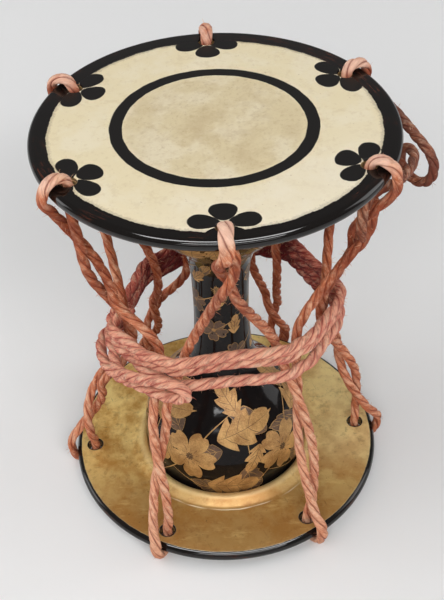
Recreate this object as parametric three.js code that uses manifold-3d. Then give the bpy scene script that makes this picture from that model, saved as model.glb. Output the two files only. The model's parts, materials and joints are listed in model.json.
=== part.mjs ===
// A small hourglass hand drum: a turned, hollow, lacquered body held between two hide heads by one
// zigzag lacing rope, which a second rope draws in at the waist. Millimetres, +Z up along the drum.
// The origin is on the floor, on the axis. The drum stands on the rope bights under its lower head.
import * as THREE from 'three';
import { mergeVertices } from 'three/addons/utils/BufferGeometryUtils.js';
import Module from 'manifold-3d';

const wasm = await Module();
wasm.setup();

// Driving sizes of the heads
const headDiameter = 200;
const ringRodDiameter = 4.6;
const hideThickness = 0.9;
const drumLength = 254;
const holeDiameter = 9;
const holeInset = 12;
const holeCount = 6;
const seamDiameter = 103;
const threadDiameter = 1.2;
const collarWidth = 11.5;
const collarHeight = 3.4;
const topHoleTurn = -88;
const bottomHoleTurn = -116;

// Driving sizes of the wooden body
const lipWidth = 3.8;
const bowlSwell = 2.3;
const bowlDepth = 78;
const bowlWall = 5.2;
const stemDiameter = 35;
const boreDiameter = 22;

// Driving sizes of the ropes
const laceDiameter = 6;
const bightRise = 0.6;
const girdleDiameter = 7;
const waistDiameter = 121;
const waistShift = 2;
const girdleTurns = 3;
const turnGap = 0.5;
const girdleTilt = 7;
const girdleLean = 8;
const girdleDrop = 3;
const girdleSag = 5;
const girdleStart = -160;
const sagAngle = -75;

// Two strands that share a hole lie wound round each other. For each hole in turn: the depths below
// the face where that starts, where the two touch and where they part again, as shares of half the
// drum's length, then how far they turn and how far they lean round the drum, in degrees.
const twistLead = 4;
const topTwists = [
  [0.063, 0.189, 0.378, 262, 0],
  [0.0945, 0.307, 0.4725, 262, 0],
  [0.063, 0.189, 0.4725, 262, 0],
  [0.063, 0.189, 0.4725, 262, 0],
  [0.063, 0.189, 0.4725, 262, 0],
  [0.063, 0.189, 0.693, 262, 0],
];
const bottomTwists = [
  [0.0945, 0.3, 0.772, 215, 5],
  [0.0945, 0.3, 0.646, 262, 0],
  [0.0945, 0.3, 0.52, 262, 0],
  [0.0945, 0.3, 0.567, 262, 0],
  [0.0945, 0.3, 0.5355, 262, 0],
  [0.0945, 0.3, 0.772, 262, -7],
];

// How far each strand of the lacing lies off the middle between its two holes, in degrees round the
// drum, above the girdle and below it: the strands that run down, then those that run up
const downShift = [[10, 16], [-8, -4], [5, 5], [2, 4], [18, 18], [3, 2]];
const upShift = [[-3, -4.5], [-26, -24], [-7, -8], [-3, -5], [5, 2], [-8, -14.5]];

// Clearances
const clearance = 0.3;
const seatGap = 0.7;
const ropeClearance = 0.45;
const pairEase = 0.67;

// Roundness of the faceted shapes
const headFacets = 48;
const bodyFacets = 40;
const drillFacets = 16;
const ropeSides = 6;
const tailSides = 8;
const twistStep = 9;

// Sizes that follow from the driving ones
const headRadius = headDiameter / 2;
const rimRadius = ringRodDiameter / 2 + clearance + hideThickness;
const rimCentre = headRadius - rimRadius;
const headThickness = 2 * rimRadius;
const holeCircle = headRadius - holeInset;
const laceRadius = laceDiameter / 2;
const girdleRadius = girdleDiameter / 2;
const restFlat = laceDiameter / 10;
const laceStandoff = laceRadius + clearance;
const bottomFace = laceStandoff + laceRadius - restFlat;
const topFace = bottomFace + drumLength;
const middle = (bottomFace + topFace) / 2;
const seamRadius = seamDiameter / 2;
const collarInner = seamRadius + threadDiameter / 2 + clearance / 2;
const collarReach = headThickness + collarHeight - hideThickness - clearance;
const mouthRadius = seamRadius - threadDiameter / 2 - seatGap;
const bowlRadius = mouthRadius + bowlSwell;
const waistRadius = waistDiameter / 2;
const pairSpacing = laceDiameter + ropeClearance;
const overRim = rimRadius + laceStandoff;
const pairMiddle = (holeCircle + rimCentre + overRim) / 2;
const pairSpread = (rimCentre + overRim - holeCircle) / 2;
const girdlePitch = girdleDiameter + turnGap;

const rad = (degrees) => degrees * Math.PI / 180;
const point = (r, angle, z) => new THREE.Vector3(r * Math.cos(rad(angle)), r * Math.sin(rad(angle)), z);
const mix = (a, b, share) => a + (b - a) * share;

// A lathe turned so that its axis is Z, from points given as [radius, height]
function turned(profile, facets) {
  const points = profile.map(([r, z]) => new THREE.Vector2(Math.max(r, 0), z));
  const closed = points[0].x === 0 ? points : [...points, points[0]];
  return new THREE.LatheGeometry(closed, facets).rotateX(Math.PI / 2);
}

// Points of an arc in a turned profile, both ends included
function arc(r, z, radius, from, to, steps) {
  return Array.from({ length: steps + 1 }, (_, i) => {
    const a = rad(mix(from, to, i / steps));
    return [r + radius * Math.cos(a), z + radius * Math.sin(a)];
  });
}

function solidOf(geometry) {
  const bare = geometry.clone();
  bare.deleteAttribute('normal');
  bare.deleteAttribute('uv');
  const merged = mergeVertices(bare, 1e-5);
  return new wasm.Manifold(new wasm.Mesh({
    numProp: 3,
    vertProperties: new Float32Array(merged.attributes.position.array),
    triVerts: new Uint32Array(merged.index.array),
  }));
}

function geometryOf(solid) {
  const mesh = solid.getMesh();
  const geometry = new THREE.BufferGeometry();
  geometry.setAttribute('position', new THREE.BufferAttribute(mesh.vertProperties, 3));
  geometry.setIndex(new THREE.BufferAttribute(mesh.triVerts, 1));
  geometry.computeVertexNormals();
  return geometry;
}

// Bores the lace holes through a layer of a head
function boredForLace(geometry) {
  let solid = solidOf(geometry);
  for (let i = 0; i < holeCount; i += 1) {
    const drill = new THREE.CylinderGeometry(holeDiameter / 2, holeDiameter / 2, 4 * headThickness, drillFacets);
    const place = point(holeCircle, i * 360 / holeCount, -headThickness / 2);
    drill.rotateX(Math.PI / 2).translate(place.x, place.y, place.z);
    solid = solid.subtract(solidOf(drill));
  }
  return geometryOf(solid);
}

// The hide in its own frame: struck face up at height 0, folded round the ring and back to the seam,
// where it stands up as a collar round the mouth of the body
function hideGeometry() {
  const t = hideThickness;
  const back = -headThickness;
  const crest = back - collarHeight;
  const slope = collarInner + collarWidth;
  const bend = collarWidth * 0.3;
  const outside = [
    [0, 0],
    ...arc(rimCentre, -rimRadius, rimRadius, 90, -90, 6),
    [slope, back],
    [collarInner + 2 * bend, mix(back, crest, 0.65)],
    [collarInner + bend, crest],
    [collarInner + bend / 3, mix(crest, back, 0.3)],
    [collarInner, mix(crest, back, 0.9)],
    [collarInner, -t - clearance],
  ];
  const inside = [
    [collarInner + t, -t - clearance],
    [collarInner + t, mix(crest, back, 0.9)],
    [collarInner + bend, crest + t],
    [collarInner + 2 * bend, mix(back, crest, 0.65) + t],
    [slope, back + t],
    ...arc(rimCentre, -rimRadius, rimRadius - t, -90, 90, 4),
    [0, -t],
  ];
  return boredForLace(turned([...outside, ...inside].reverse(), headFacets));
}

// The iron ring inside the rim
function ringGeometry() {
  const section = arc(rimCentre, -rimRadius, ringRodDiameter / 2, 0, 360, 6).slice(0, -1);
  return turned(section, headFacets);
}

// The straw packing between the two layers of the fold
function packingGeometry() {
  const gap = hideThickness + clearance;
  const back = -headThickness + gap;
  const inner = collarInner + gap;
  const outer = rimCentre - ringRodDiameter / 2 - clearance;
  const bend = collarWidth * 0.3;
  const section = [
    [inner, -gap],
    [inner, back],
    [inner + bend, back - collarHeight * 0.6],
    [collarInner + collarWidth - gap, back],
    [outer, back],
    [outer, -gap],
  ];
  return boredForLace(turned(section, headFacets));
}

// The seam thread that closes the fold, an overcast stitch in the corner at the foot of the collar
function seamGeometry() {
  const r = seamRadius;
  const z = -hideThickness - clearance - threadDiameter / 2;
  return turned(arc(r, z, threadDiameter / 2, 0, 360, 5).slice(0, -1), headFacets);
}

// One half of the body's outside, from the mouth to the middle of the stem, as [radius, height
// above the mouth]
function bowlOutside() {
  const bowl = bowlRadius;
  const stem = stemDiameter / 2;
  return [
    [mouthRadius, 0],
    [collarInner - seatGap, collarReach],
    [bowl, bowlDepth * 0.3],
    [bowl - 1.2, bowlDepth * 0.46],
    [mix(stem, bowl, 0.84), bowlDepth * 0.62],
    [mix(stem, bowl, 0.63), bowlDepth * 0.76],
    [mix(stem, bowl, 0.38), bowlDepth * 0.88],
    [mix(stem, bowl, 0.17), bowlDepth],
    [mix(stem, bowl, 0.06), bowlDepth * 1.12],
    [stem, bowlDepth * 1.3],
  ];
}

function bowlInside() {
  const lip = mouthRadius - lipWidth;
  const bowl = bowlRadius - bowlWall;
  const bore = boreDiameter / 2;
  return [
    [lip, 0],
    [bowl, bowlDepth * 0.22],
    [bowl - 1.2, bowlDepth * 0.42],
    [mix(bore, bowl, 0.82), bowlDepth * 0.6],
    [mix(bore, bowl, 0.56), bowlDepth * 0.75],
    [mix(bore, bowl, 0.26), bowlDepth * 0.88],
    [mix(bore, bowl, 0.07), bowlDepth * 1.04],
    [bore, bowlDepth * 1.25],
  ];
}

// The body: two bowls joined by a stem, open from end to end, centred on height 0
function bodyGeometry() {
  const mouthHeight = drumLength / 2 - hideThickness - clearance;
  const lower = (half) => half.map(([r, h]) => [r, h - mouthHeight]);
  const upper = (half) => half.map(([r, h]) => [r, mouthHeight - h]).reverse();
  const section = [
    ...lower(bowlOutside()),
    ...upper(bowlOutside()),
    ...upper(bowlInside()).reverse(),
    ...lower(bowlInside()).reverse(),
  ];
  return turned(section, bodyFacets);
}

// Joins rings of points along a route into a closed tube with flat ends
function ropeGeometry(route, diameter, sides) {
  const count = route.length;
  const tangents = route.map((p, i) => {
    const before = route[Math.max(i - 1, 0)];
    const after = route[Math.min(i + 1, count - 1)];
    return after.clone().sub(before).normalize();
  });
  let side = new THREE.Vector3().crossVectors(tangents[0], new THREE.Vector3(0, 0, 1)).normalize();
  const positions = [];
  const faces = [];
  route.forEach((p, i) => {
    side.addScaledVector(tangents[i], -side.dot(tangents[i])).normalize();
    const up = new THREE.Vector3().crossVectors(tangents[i], side);
    for (let k = 0; k < sides; k += 1) {
      const a = 2 * Math.PI * (k + 0.5) / sides;
      const v = p.clone();
      v.addScaledVector(side, diameter / 2 * Math.cos(a)).addScaledVector(up, diameter / 2 * Math.sin(a));
      positions.push(v.x, v.y, v.z);
    }
  });
  for (let i = 0; i < count - 1; i += 1) {
    for (let k = 0; k < sides; k += 1) {
      const a = i * sides + k;
      const b = i * sides + (k + 1) % sides;
      faces.push(a, b, b + sides, a, b + sides, a + sides);
    }
  }
  for (let k = 1; k < sides - 1; k += 1) {
    const last = (count - 1) * sides;
    faces.push(0, k + 1, k, last, last + k, last + k + 1);
  }
  const geometry = new THREE.BufferGeometry();
  geometry.setAttribute('position', new THREE.Float32BufferAttribute(positions, 3));
  geometry.setIndex(faces);
  geometry.computeVertexNormals();
  return geometry;
}

const topAngle = (k) => topHoleTurn + k * 360 / holeCount;
const bottomAngle = (k) => bottomHoleTurn + (k + 1) * 360 / holeCount;

// The girdle lies a little askew: this is its middle height at an angle round the drum
const girdleMiddle = (angle) => middle - girdleDrop
  + girdleTilt * Math.cos(rad(angle)) - girdleLean * Math.sin(rad(angle));

// The waist sits a little to the right of the axis
const waistAt = (angle) => waistRadius + waistShift * Math.cos(rad(angle));

// Where each strand of the lacing lies at the waist, as its angle round the drum. The lacing goes
// down from over the upper rim to a lower hole, and up from over the lower rim to the next upper hole.
const holes = Array.from({ length: holeCount }, (_, k) => k);
const waistAngles = (middleAngle, shifts = [0, 0]) => shifts.map((shift) => middleAngle + shift);
const downAtWaist = holes.map((k) => waistAngles((topAngle(k) + bottomAngle(k)) / 2, downShift[k]));
const upAtWaist = holes.map((k) => waistAngles((bottomAngle(k) + topAngle(k + 1)) / 2, upShift[k]));

// The bight of a hole: out of the hole, across the edge of the head and down over its rim.
// outward is +1 at the upper head and -1 at the lower one. The corner points lie a little outside
// the round, so that the straight pieces between them clear the hide.
function bight(angle, face, outward, rise) {
  const corner = 0.72 * overRim;
  const places = [
    [holeCircle, -laceRadius],
    [holeCircle + 0.2 * holeDiameter, 0.3 * laceDiameter],
    [holeCircle + holeDiameter / 2, laceStandoff + rise],
    [rimCentre, laceStandoff + rise],
    [rimCentre + corner, corner - rimRadius],
    [rimCentre + overRim, -rimRadius - 0.5],
  ];
  return places.map(([r, h]) => point(r, angle, face + outward * h));
}

// The twisted stretch of one strand of a hole, where the two close up until they touch. part is +1
// for the strand that comes over the rim and -1 for the one out of the hole.
function twistedPart(angle, face, outward, part, twist) {
  const [start, touch, end] = twist.map((share) => share * drumLength / 2);
  const [, , , turnThrough, lean] = twist;
  const steps = Math.round((end - start) / twistStep);
  const contact = pairSpacing / 2 + pairEase;
  return Array.from({ length: steps + 1 }, (_, i) => {
    const share = i / steps;
    const depth = mix(start, end, share);
    const turn = rad(mix(twistLead, turnThrough, share));
    const closing = Math.max(0, 1 - (depth - start) / (touch - start)) ** 2;
    const reach = part * mix(contact, pairSpread, closing);
    const inward = Math.max(0, (depth - holeInset) / (drumLength / 2 - holeInset));
    const r = mix(pairMiddle, waistRadius, inward) + reach * Math.cos(turn);
    const aside = point(-reach * Math.sin(turn), angle + 90, 0);
    return point(r, angle + lean * share, face - outward * depth).add(aside);
  });
}

// A strand runs level with the axis for the height of the girdle that holds it in
function atWaist([above, below]) {
  const half = 1.47 * girdlePitch;
  return [[above, half], [below, -half]]
    .map(([angle, h]) => point(waistAt(angle), angle, girdleMiddle(angle) + h));
}

// One strand down and the next one up, with the lower bight between them
function laceStretch(k) {
  const turnOver = (list) => [...list].reverse();
  const atTop = (i, part) => twistedPart(topAngle(i), topFace, 1, part, topTwists[i % topTwists.length]);
  const atBottom = (i, part) => (
    twistedPart(bottomAngle(i), bottomFace, -1, part, bottomTwists[i % bottomTwists.length])
  );
  return [
    ...atTop(k, 1),
    ...atWaist(downAtWaist[k]),
    ...turnOver(atBottom(k, -1)),
    ...bight(bottomAngle(k), bottomFace, -1, 0),
    ...atBottom(k, 1),
    ...turnOver(atWaist(upAtWaist[k])),
    ...turnOver(atTop(k + 1, -1)),
  ];
}

// The lacing rope, from its end under the third upper hole, all the way round and up through that
// hole again, to just below the rim
const firstHole = Math.round(holeCount / 3);
function laceRoute() {
  const points = [];
  holes.forEach((i) => {
    const k = (firstHole + i) % holeCount;
    const stretch = laceStretch(k);
    points.push(...(i === 0 ? stretch.slice(1) : stretch));
    points.push(...bight(topAngle(k + 1), topFace, 1, bightRise));
  });
  const last = topFace - rimRadius - laceRadius;
  points.push(point(rimCentre + overRim, topAngle(firstHole), last));
  return points;
}

// The radius of a taut loop that is carried by the strands at the waist and runs straight between
// them
const supports = [...downAtWaist, ...upAtWaist]
  .map(([above, below]) => ((above + below) / 2 + 720) % 360)
  .sort((a, b) => a - b);
function tautRadius(angle) {
  const corner = waistAt(angle) + laceRadius + ropeClearance + girdleRadius;
  const a = ((angle % 360) + 360) % 360;
  const next = supports.findIndex((s) => s > a);
  const high = next < 0 ? supports[0] + 360 : supports[next];
  const low = next <= 0 ? supports[supports.length - 1] - (next < 0 ? 0 : 360) : supports[next - 1];
  return corner * Math.cos(rad((high - low) / 2)) / Math.cos(rad(a - (high + low) / 2));
}

// The angles that a turn of the girdle is drawn at: over each strand and halfway to the next
const turnAngles = supports.flatMap((a, i) => {
  const next = i + 1 < supports.length ? supports[i + 1] : supports[0] + 360;
  return [a, (a + next) / 2];
});

// One turn after another of the girdle, climbing steadily, the first one sagging at the front. Above
// and below its middle the strands splay, and its turns lie farther out.
function girdleWinding() {
  const end = girdleStart - 360 * girdleTurns;
  const turns = [];
  for (let turn = 0; turn <= girdleTurns + 1; turn += 1) {
    [...turnAngles].reverse().forEach((stop) => {
      const angle = stop - 360 * turn;
      if (angle < girdleStart - 3 && angle > end) {
        const climb = girdlePitch * ((girdleStart - angle) / 360 - girdleTurns / 2);
        const fromSag = Math.abs(angle + 360 - sagAngle);
        const sag = fromSag < 90 ? girdleSag * Math.cos(rad(fromSag)) ** 2 : 0;
        const splay = 1.25 + 0.5 * Math.max(0, Math.abs(climb - sag) - 6);
        turns.push([tautRadius(angle) + splay, angle, girdleMiddle(angle) + climb - sag]);
      }
    });
  }
  return turns;
}

// The girdle rope: its end is tucked in at the left, it hooks round the front left pair of strands,
// winds round the waist, and its other end is tucked in above. Points are [radius, angle, height].
function girdleRoute() {
  const low = girdleMiddle(girdleStart) - girdlePitch * girdleTurns / 2;
  const high = low + girdlePitch * girdleTurns;
  const onPair = tautRadius(bottomHoleTurn);
  const hook = [
    [waistRadius - 6, -197, low - 13],
    [waistRadius + 6, -193, low - 13.5],
    [onPair + 7.5, -187, low - 13.5],
    [onPair + 9.5, -177, low - 13],
    [onPair + 8.5, -164, low - 11.5],
    [onPair + 6.5, -150, low - 6.5],
    [onPair + 5.5, -136, low],
    [onPair + 6.9, -122, low + 4.3],
    [onPair + 10.4, -111, low + 9.5],
    [onPair + 12.9, -105.5, low + 16],
    [onPair + 13.2, -107.5, low + 22],
    [onPair + 12.8, -116, low + 21.9],
    [onPair + 11.4, -130, low + 14.9],
    [onPair + 8.5, -146, low + 4.3],
  ];
  const tuck = [
    [onPair - 2, -164, high],
    [waistRadius, -166, high + 0.5],
    [waistRadius - 7, -166, high + 0.5],
  ];
  return [...hook, ...girdleWinding(), ...tuck].map(([r, angle, z]) => point(r, angle, z));
}

// The free tail: from the last bight, along the outside of the upper rim, round a loose eye, in
// under the rim, between the two strands of the next hole and down to its cut end
const tailPoints = [
  [87.6, 54.75, 252.85],
  [87.7, 54.75, 249.5],
  [91.2, 51.5, 244.8],
  [96.5, 43.0, 243.6],
  [102.1, 31.0, 243.2],
  [106.7, 20.4, 241.8],
  [111.2, 10.8, 239.6],
  [115.4, 2.7, 237.4],
  [118.5, -2.8, 233.0],
  [119.0, -4.8, 225.8],
  [116.4, -2.8, 219.0],
  [111.1, 3.0, 215.8],
  [105.9, 8.7, 219.0],
  [103.3, 10.8, 225.8],
  [103.8, 8.7, 233.0],
  [106.6, 3.2, 237.2],
  [107.4, -4.5, 238.2],
  [105.3, -13.0, 238.6],
  [101.0, -22.0, 239.4],
  [95.3, -31.0, 241.6],
  [89.3, -38.6, 244.4],
  [83.6, -44.4, 246.0],
  [77.5, -49.6, 244.8],
  [74.3, -54.0, 240.0],
  [73.6, -55.6, 232.0],
  [73.6, -55.8, 223.0],
];
const tailRoute = () => tailPoints.map(([x, y, z]) => new THREE.Vector3(x, y, z));

// Points along a route as it is built, about a millimetre apart, with how far along each one is
function measured(route) {
  const places = [];
  let far = 0;
  route.slice(1).forEach((next, i) => {
    const length = next.distanceTo(route[i]);
    const count = Math.ceil(length);
    for (let k = 0; k < count; k += 1) {
      places.push({ p: route[i].clone().lerp(next, k / count), far: far + length * k / count });
    }
    far += length;
  });
  return places;
}

// Least gap between two ropes, or between a rope and itself further on than three diameters
const apartAlong = 3.2;
function leastGap(a, b, reach) {
  const first = measured(a);
  const second = measured(b);
  let least = Infinity;
  first.forEach((u) => second.forEach((v) => {
    if (a !== b || Math.abs(u.far - v.far) > apartAlong * reach) {
      least = Math.min(least, u.p.distanceTo(v.p) - reach);
    }
  }));
  return least.toFixed(2);
}

const hideMaterial = () => new THREE.MeshStandardMaterial({ color: 0xe3d7b4, roughness: 0.6, metalness: 0 });
const ironMaterial = () => new THREE.MeshStandardMaterial({ color: 0x3c3a39, roughness: 0.5, metalness: 0.9 });
const strawMaterial = () => new THREE.MeshStandardMaterial({ color: 0xb59a5c, roughness: 0.9, metalness: 0 });
const threadMaterial = () => new THREE.MeshStandardMaterial({ color: 0xcbb98f, roughness: 0.8, metalness: 0 });
const lacquerMaterial = () => new THREE.MeshStandardMaterial({ color: 0x14110f, roughness: 0.18, metalness: 0 });
const laceMaterial = () => new THREE.MeshStandardMaterial({ color: 0xb5673f, roughness: 0.85, metalness: 0 });
const girdleMaterial = () => new THREE.MeshStandardMaterial({ color: 0xc4776a, roughness: 0.85, metalness: 0 });

const drum = new THREE.Group();

function addPiece(name, geometry, material, parent = drum) {
  const mesh = new THREE.Mesh(geometry, material);
  mesh.name = name;
  parent.add(mesh);
}

// A head is built face up, then set at its height, and the lower one is turned over
function addHead(name, face, holeTurn, turnedOver) {
  const head = new THREE.Group();
  head.position.z = face;
  head.rotation.x = turnedOver ? Math.PI : 0;
  head.rotation.z = rad(turnedOver ? -holeTurn : holeTurn);
  head.rotation.order = 'XYZ';
  addPiece(`${name}_hide`, hideGeometry(), hideMaterial(), head);
  addPiece(`${name}_iron_ring`, ringGeometry(), ironMaterial(), head);
  addPiece(`${name}_straw_packing`, packingGeometry(), strawMaterial(), head);
  addPiece(`${name}_seam_thread`, seamGeometry(), threadMaterial(), head);
  drum.add(head);
}

addHead('top', topFace, topHoleTurn, false);
addHead('bottom', bottomFace, bottomHoleTurn, true);

const body = new THREE.Mesh(bodyGeometry(), lacquerMaterial());
body.name = 'drum_body';
body.position.z = middle;
drum.add(body);

// The lower bights are cut flat where the drum stands on them
function cutFlat(geometry) {
  const floor = new THREE.BoxGeometry(2 * headDiameter, 2 * headDiameter, headThickness);
  floor.translate(0, 0, -headThickness / 2);
  return geometryOf(solidOf(geometry).subtract(solidOf(floor)));
}

const lace = laceRoute();
const girdle = girdleRoute();
const tail = tailRoute();
addPiece('lacing_cord', cutFlat(ropeGeometry(lace, laceDiameter, ropeSides)), laceMaterial());
addPiece('girdle_cord', ropeGeometry(girdle, girdleDiameter, ropeSides), girdleMaterial());
addPiece('tail_cord', ropeGeometry(tail, laceDiameter, tailSides), laceMaterial());

const shown = [
  ['lacing to itself', lace, lace, laceDiameter],
  ['girdle to itself', girdle, girdle, girdleDiameter],
  ['tail to itself', tail, tail, laceDiameter],
  ['girdle to lacing', girdle, lace, girdleRadius + laceRadius],
  ['tail to lacing', tail.slice(2), lace, laceDiameter],
];
shown.forEach(([title, a, b, reach]) => console.log(`${title}: least gap ${leastGap(a, b, reach)} mm`));

export default drum;
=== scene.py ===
# %% [markdown]
# # A small hourglass hand drum
# The drum is a hollow lacquered body held between two hide heads by one zigzag rope, which a second
# rope draws in at the waist. The frame holds the solid model: its pieces, sizes and motion. Here each
# piece gets the surface that it shows. The frame comes first, so that everything is placed from it.

# %% Load the frame
import json
import math
import random
from collections import namedtuple

import bpy
import numpy as np
from mathutils import Euler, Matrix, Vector, noise
from mathutils.geometry import delaunay_2d_cdt

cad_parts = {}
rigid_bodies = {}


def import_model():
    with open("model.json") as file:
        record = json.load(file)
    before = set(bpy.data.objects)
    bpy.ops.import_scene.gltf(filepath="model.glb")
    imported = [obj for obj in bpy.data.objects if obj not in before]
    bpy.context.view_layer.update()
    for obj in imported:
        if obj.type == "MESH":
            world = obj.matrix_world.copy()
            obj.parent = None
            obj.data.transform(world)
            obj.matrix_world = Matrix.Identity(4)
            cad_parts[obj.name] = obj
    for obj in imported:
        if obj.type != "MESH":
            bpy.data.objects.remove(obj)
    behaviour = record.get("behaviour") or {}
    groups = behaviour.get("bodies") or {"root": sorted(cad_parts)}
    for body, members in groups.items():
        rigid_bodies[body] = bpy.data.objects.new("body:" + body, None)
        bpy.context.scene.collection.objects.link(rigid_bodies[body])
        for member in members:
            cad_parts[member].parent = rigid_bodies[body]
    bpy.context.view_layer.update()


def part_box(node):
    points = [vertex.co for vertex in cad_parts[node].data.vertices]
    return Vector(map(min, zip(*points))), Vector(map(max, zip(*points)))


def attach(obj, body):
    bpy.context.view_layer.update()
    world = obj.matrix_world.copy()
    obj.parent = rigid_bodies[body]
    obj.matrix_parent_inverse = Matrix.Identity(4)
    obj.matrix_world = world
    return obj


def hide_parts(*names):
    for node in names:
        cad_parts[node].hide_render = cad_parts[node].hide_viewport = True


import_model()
scene = bpy.context.scene

# %% [markdown]
# ## Units and small helpers
# The drum is worked out in millimetres, with +Z up along its axis, and meshes are written in metres.
# A point is given by its radius, its angle round the drum and its height, as on a lathe.

# %% Helpers for points, colours and objects
MM = 0.001


def polar(r, angle, z):
    """The point at a radius, an angle in degrees round the drum and a height, in millimetres."""
    return Vector((r * math.cos(math.radians(angle)), r * math.sin(math.radians(angle)), z))


def mix(a, b, share):
    return a + (b - a) * share


def unit(vectors):
    """A vector, or each of many in rows, brought to length 1."""
    return vectors / np.linalg.norm(vectors, axis=-1, keepdims=True)


def srgb(red, green, blue):
    """A colour given as it looks on a screen, from 0 to 255, as the linear colour that a node takes."""
    def linear(level):
        level /= 255
        return level / 12.92 if level <= 0.04045 else ((level + 0.055) / 1.055) ** 2.4
    return (linear(red), linear(green), linear(blue), 1.0)


def placed(name, data):
    """A new object in the scene, of a mesh, a lamp or a camera."""
    made = bpy.data.objects.new(name, data)
    scene.collection.objects.link(made)
    return made


print("one unit is", MM, "m")

# %% [markdown]
# ## Sizes
# The heads' sizes come from the frame's boxes. The ropes run over them, so the same few driving sizes
# that the solid model has are repeated here, in millimetres and degrees.

# %% Sizes of the heads
# A head: its name, its hide's node, the height of its face, the way that faces, 1 up or -1 down, and
# the angle of its first hole
Head = namedtuple("Head", "name node face outward first_hole")
upper = Head("upper", "top_hide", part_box("top_hide")[1].z / MM, 1, -88.0)
lower = Head("lower", "bottom_hide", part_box("bottom_hide")[0].z / MM, -1, -116.0)
middle = (upper.face + lower.face) / 2
drum_length = upper.face - lower.face
hide_thickness = 0.9
ring_rod = 4.6
clearance = 0.3
rim_radius = ring_rod / 2 + clearance + hide_thickness
head_radius = 100.0
rim_centre = head_radius - rim_radius
head_thickness = 2 * rim_radius
hole_radius = 4.5
hole_inset = 12.0
hole_circle = head_radius - hole_inset
hole_count = 6
hole_step = 360 / hole_count
seat_gap = 0.7
collar_inner = 52.25
collar_width = 11.5
collar_height = 3.4


def hole_angle(head, k):
    return head.first_hole + k * hole_step


print(f"faces at {lower.face:.1f} and {upper.face:.1f} mm, head radius {head_radius} mm")

# %% [markdown]
# ## The camera
# It looks down on the front of the drum from about 42 degrees, and is rolled by two degrees, so that
# the drum leans a little to the left in the picture. Its focal length and the axis's place in the
# picture are in pixels of a picture 600 high.

# %% Camera
picture_height = 600
focal_length = 1158.3
view_elevation = math.radians(42.28)
view_roll = math.radians(2.07)
view_distance = 704.4
view_target = Vector((0, 0, 130))
axis_right_of_middle = -0.9
axis_below_middle = 4.2

lens = bpy.data.cameras.new("view")
lens.sensor_fit = "VERTICAL"
lens.sensor_height = 36
lens.lens = lens.sensor_height * focal_length / picture_height
lens.shift_x = -axis_right_of_middle / picture_height
lens.shift_y = axis_below_middle / picture_height
lens.clip_start = 0.01
camera = placed("view", lens)
away = Vector((0, -math.cos(view_elevation), math.sin(view_elevation)))
camera.location = (view_target + away * view_distance) * MM
facing = away.to_track_quat("Z", "Y").to_matrix()
camera.rotation_euler = (facing @ Euler((0, 0, -view_roll)).to_matrix()).to_euler()
scene.camera = camera
print("camera at", [round(x, 3) for x in camera.location], "lens", round(lens.lens, 1))

# %% [markdown]
# ## Meshes from points
# Every piece is written as points and faces. One helper makes the object from them, lets it ride on its
# body, and hides the solid model's nodes that it stands for.

# %% Make a piece from points and faces
HEADS = "laced_heads"
BODY = "wooden_body"


def mesh_object(name, points, faces):
    """An object whose mesh has points in millimetres."""
    mesh = bpy.data.meshes.new(name)
    mesh.from_pydata((np.asarray(points) * MM).tolist(), [], faces)
    return placed(name, mesh)


def piece(name, points, faces, body, slot, replaces=()):
    """A smooth mesh object from points in millimetres, riding on a body."""
    made = mesh_object(name, points, faces)
    mesh = made.data
    mesh.validate()
    mesh.polygons.foreach_set("use_smooth", [True] * len(mesh.polygons))
    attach(made, body)
    if replaces:
        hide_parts(*replaces)
    print(name, "has", len(mesh.polygons), "faces")
    return made


def dress(made, material):
    """Gives a piece its finish."""
    made.data.materials.clear()
    made.data.materials.append(material)


# %% [markdown]
# ## Routes of the ropes
# A rope's route is a list of points, with a smooth curve run through them. The curve's parameter
# follows the distance between points, so close and distant points can follow each other.

# %% A smooth curve through points
def smooth(points, step):
    """Points about one step apart on a smooth curve through the given ones."""
    points = [Vector(p) for p in points]
    ends = [2 * points[0] - points[1], *points, 2 * points[-1] - points[-2]]
    found = []
    for a, b, c, d in zip(ends, ends[1:], ends[2:], ends[3:]):
        t1 = (b - a).length ** 0.5
        t2 = t1 + (c - b).length ** 0.5
        t3 = t2 + (d - c).length ** 0.5
        count = max(1, round((c - b).length / step))
        for i in range(count):
            t = mix(t1, t2, i / count)
            ab = a.lerp(b, t / t1)
            bc = b.lerp(c, (t - t1) / (t2 - t1))
            cd = c.lerp(d, (t - t2) / (t3 - t2))
            abc = ab.lerp(bc, t / t2)
            bcd = bc.lerp(cd, (t - t1) / (t3 - t1))
            found.append(abc.lerp(bcd, i / count))
    return found + [points[-1]]


# %% [markdown]
# ## Three-strand rope
# The ropes are hemp, laid from three strands. A strand is a tube whose middle winds round the rope's
# route. It is real geometry, because the grooves between strands make the rope's outline and shadows.
# Where a rope bends over a rim it spreads and flattens, so a route may come with a spread of its own.

# %% Directions carried along a route
def carried(route):
    """Unit directions along a route, and two across it that don't twist about it."""
    along = unit(np.gradient(route, axis=0))
    side = np.empty_like(along)
    side[0] = unit(np.cross(along[0], (0.3, 0.2, 1.0)))
    for i in range(1, len(route)):
        side[i] = unit(side[i - 1] - along[i] * side[i - 1].dot(along[i]))
    return along, side, np.cross(along, side)


def distances(route):
    """How far along a route each of its points is."""
    steps = np.linalg.norm(np.diff(route, axis=0), axis=1)
    return np.concatenate([[0], np.cumsum(steps)])


# %% Rope mesh
strand_count = 3
strand_sides = 12
# In a rope of radius 1: how far out a strand's middle is, its half height and its half width. Strands
# press on each other, so they are wider than high, with narrow grooves between them.
strand_reach = 0.545
strand_height = 0.455
strand_width = 0.6
# How far apart a strand's thick and thin places lie, in millimetres, and the share they differ by
uneven_length = 9
uneven_share = 0.06
# The shares by which a rope spreads along a rim and flattens on it
rim_widening = 0.36
rim_thinning = 0.1


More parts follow.
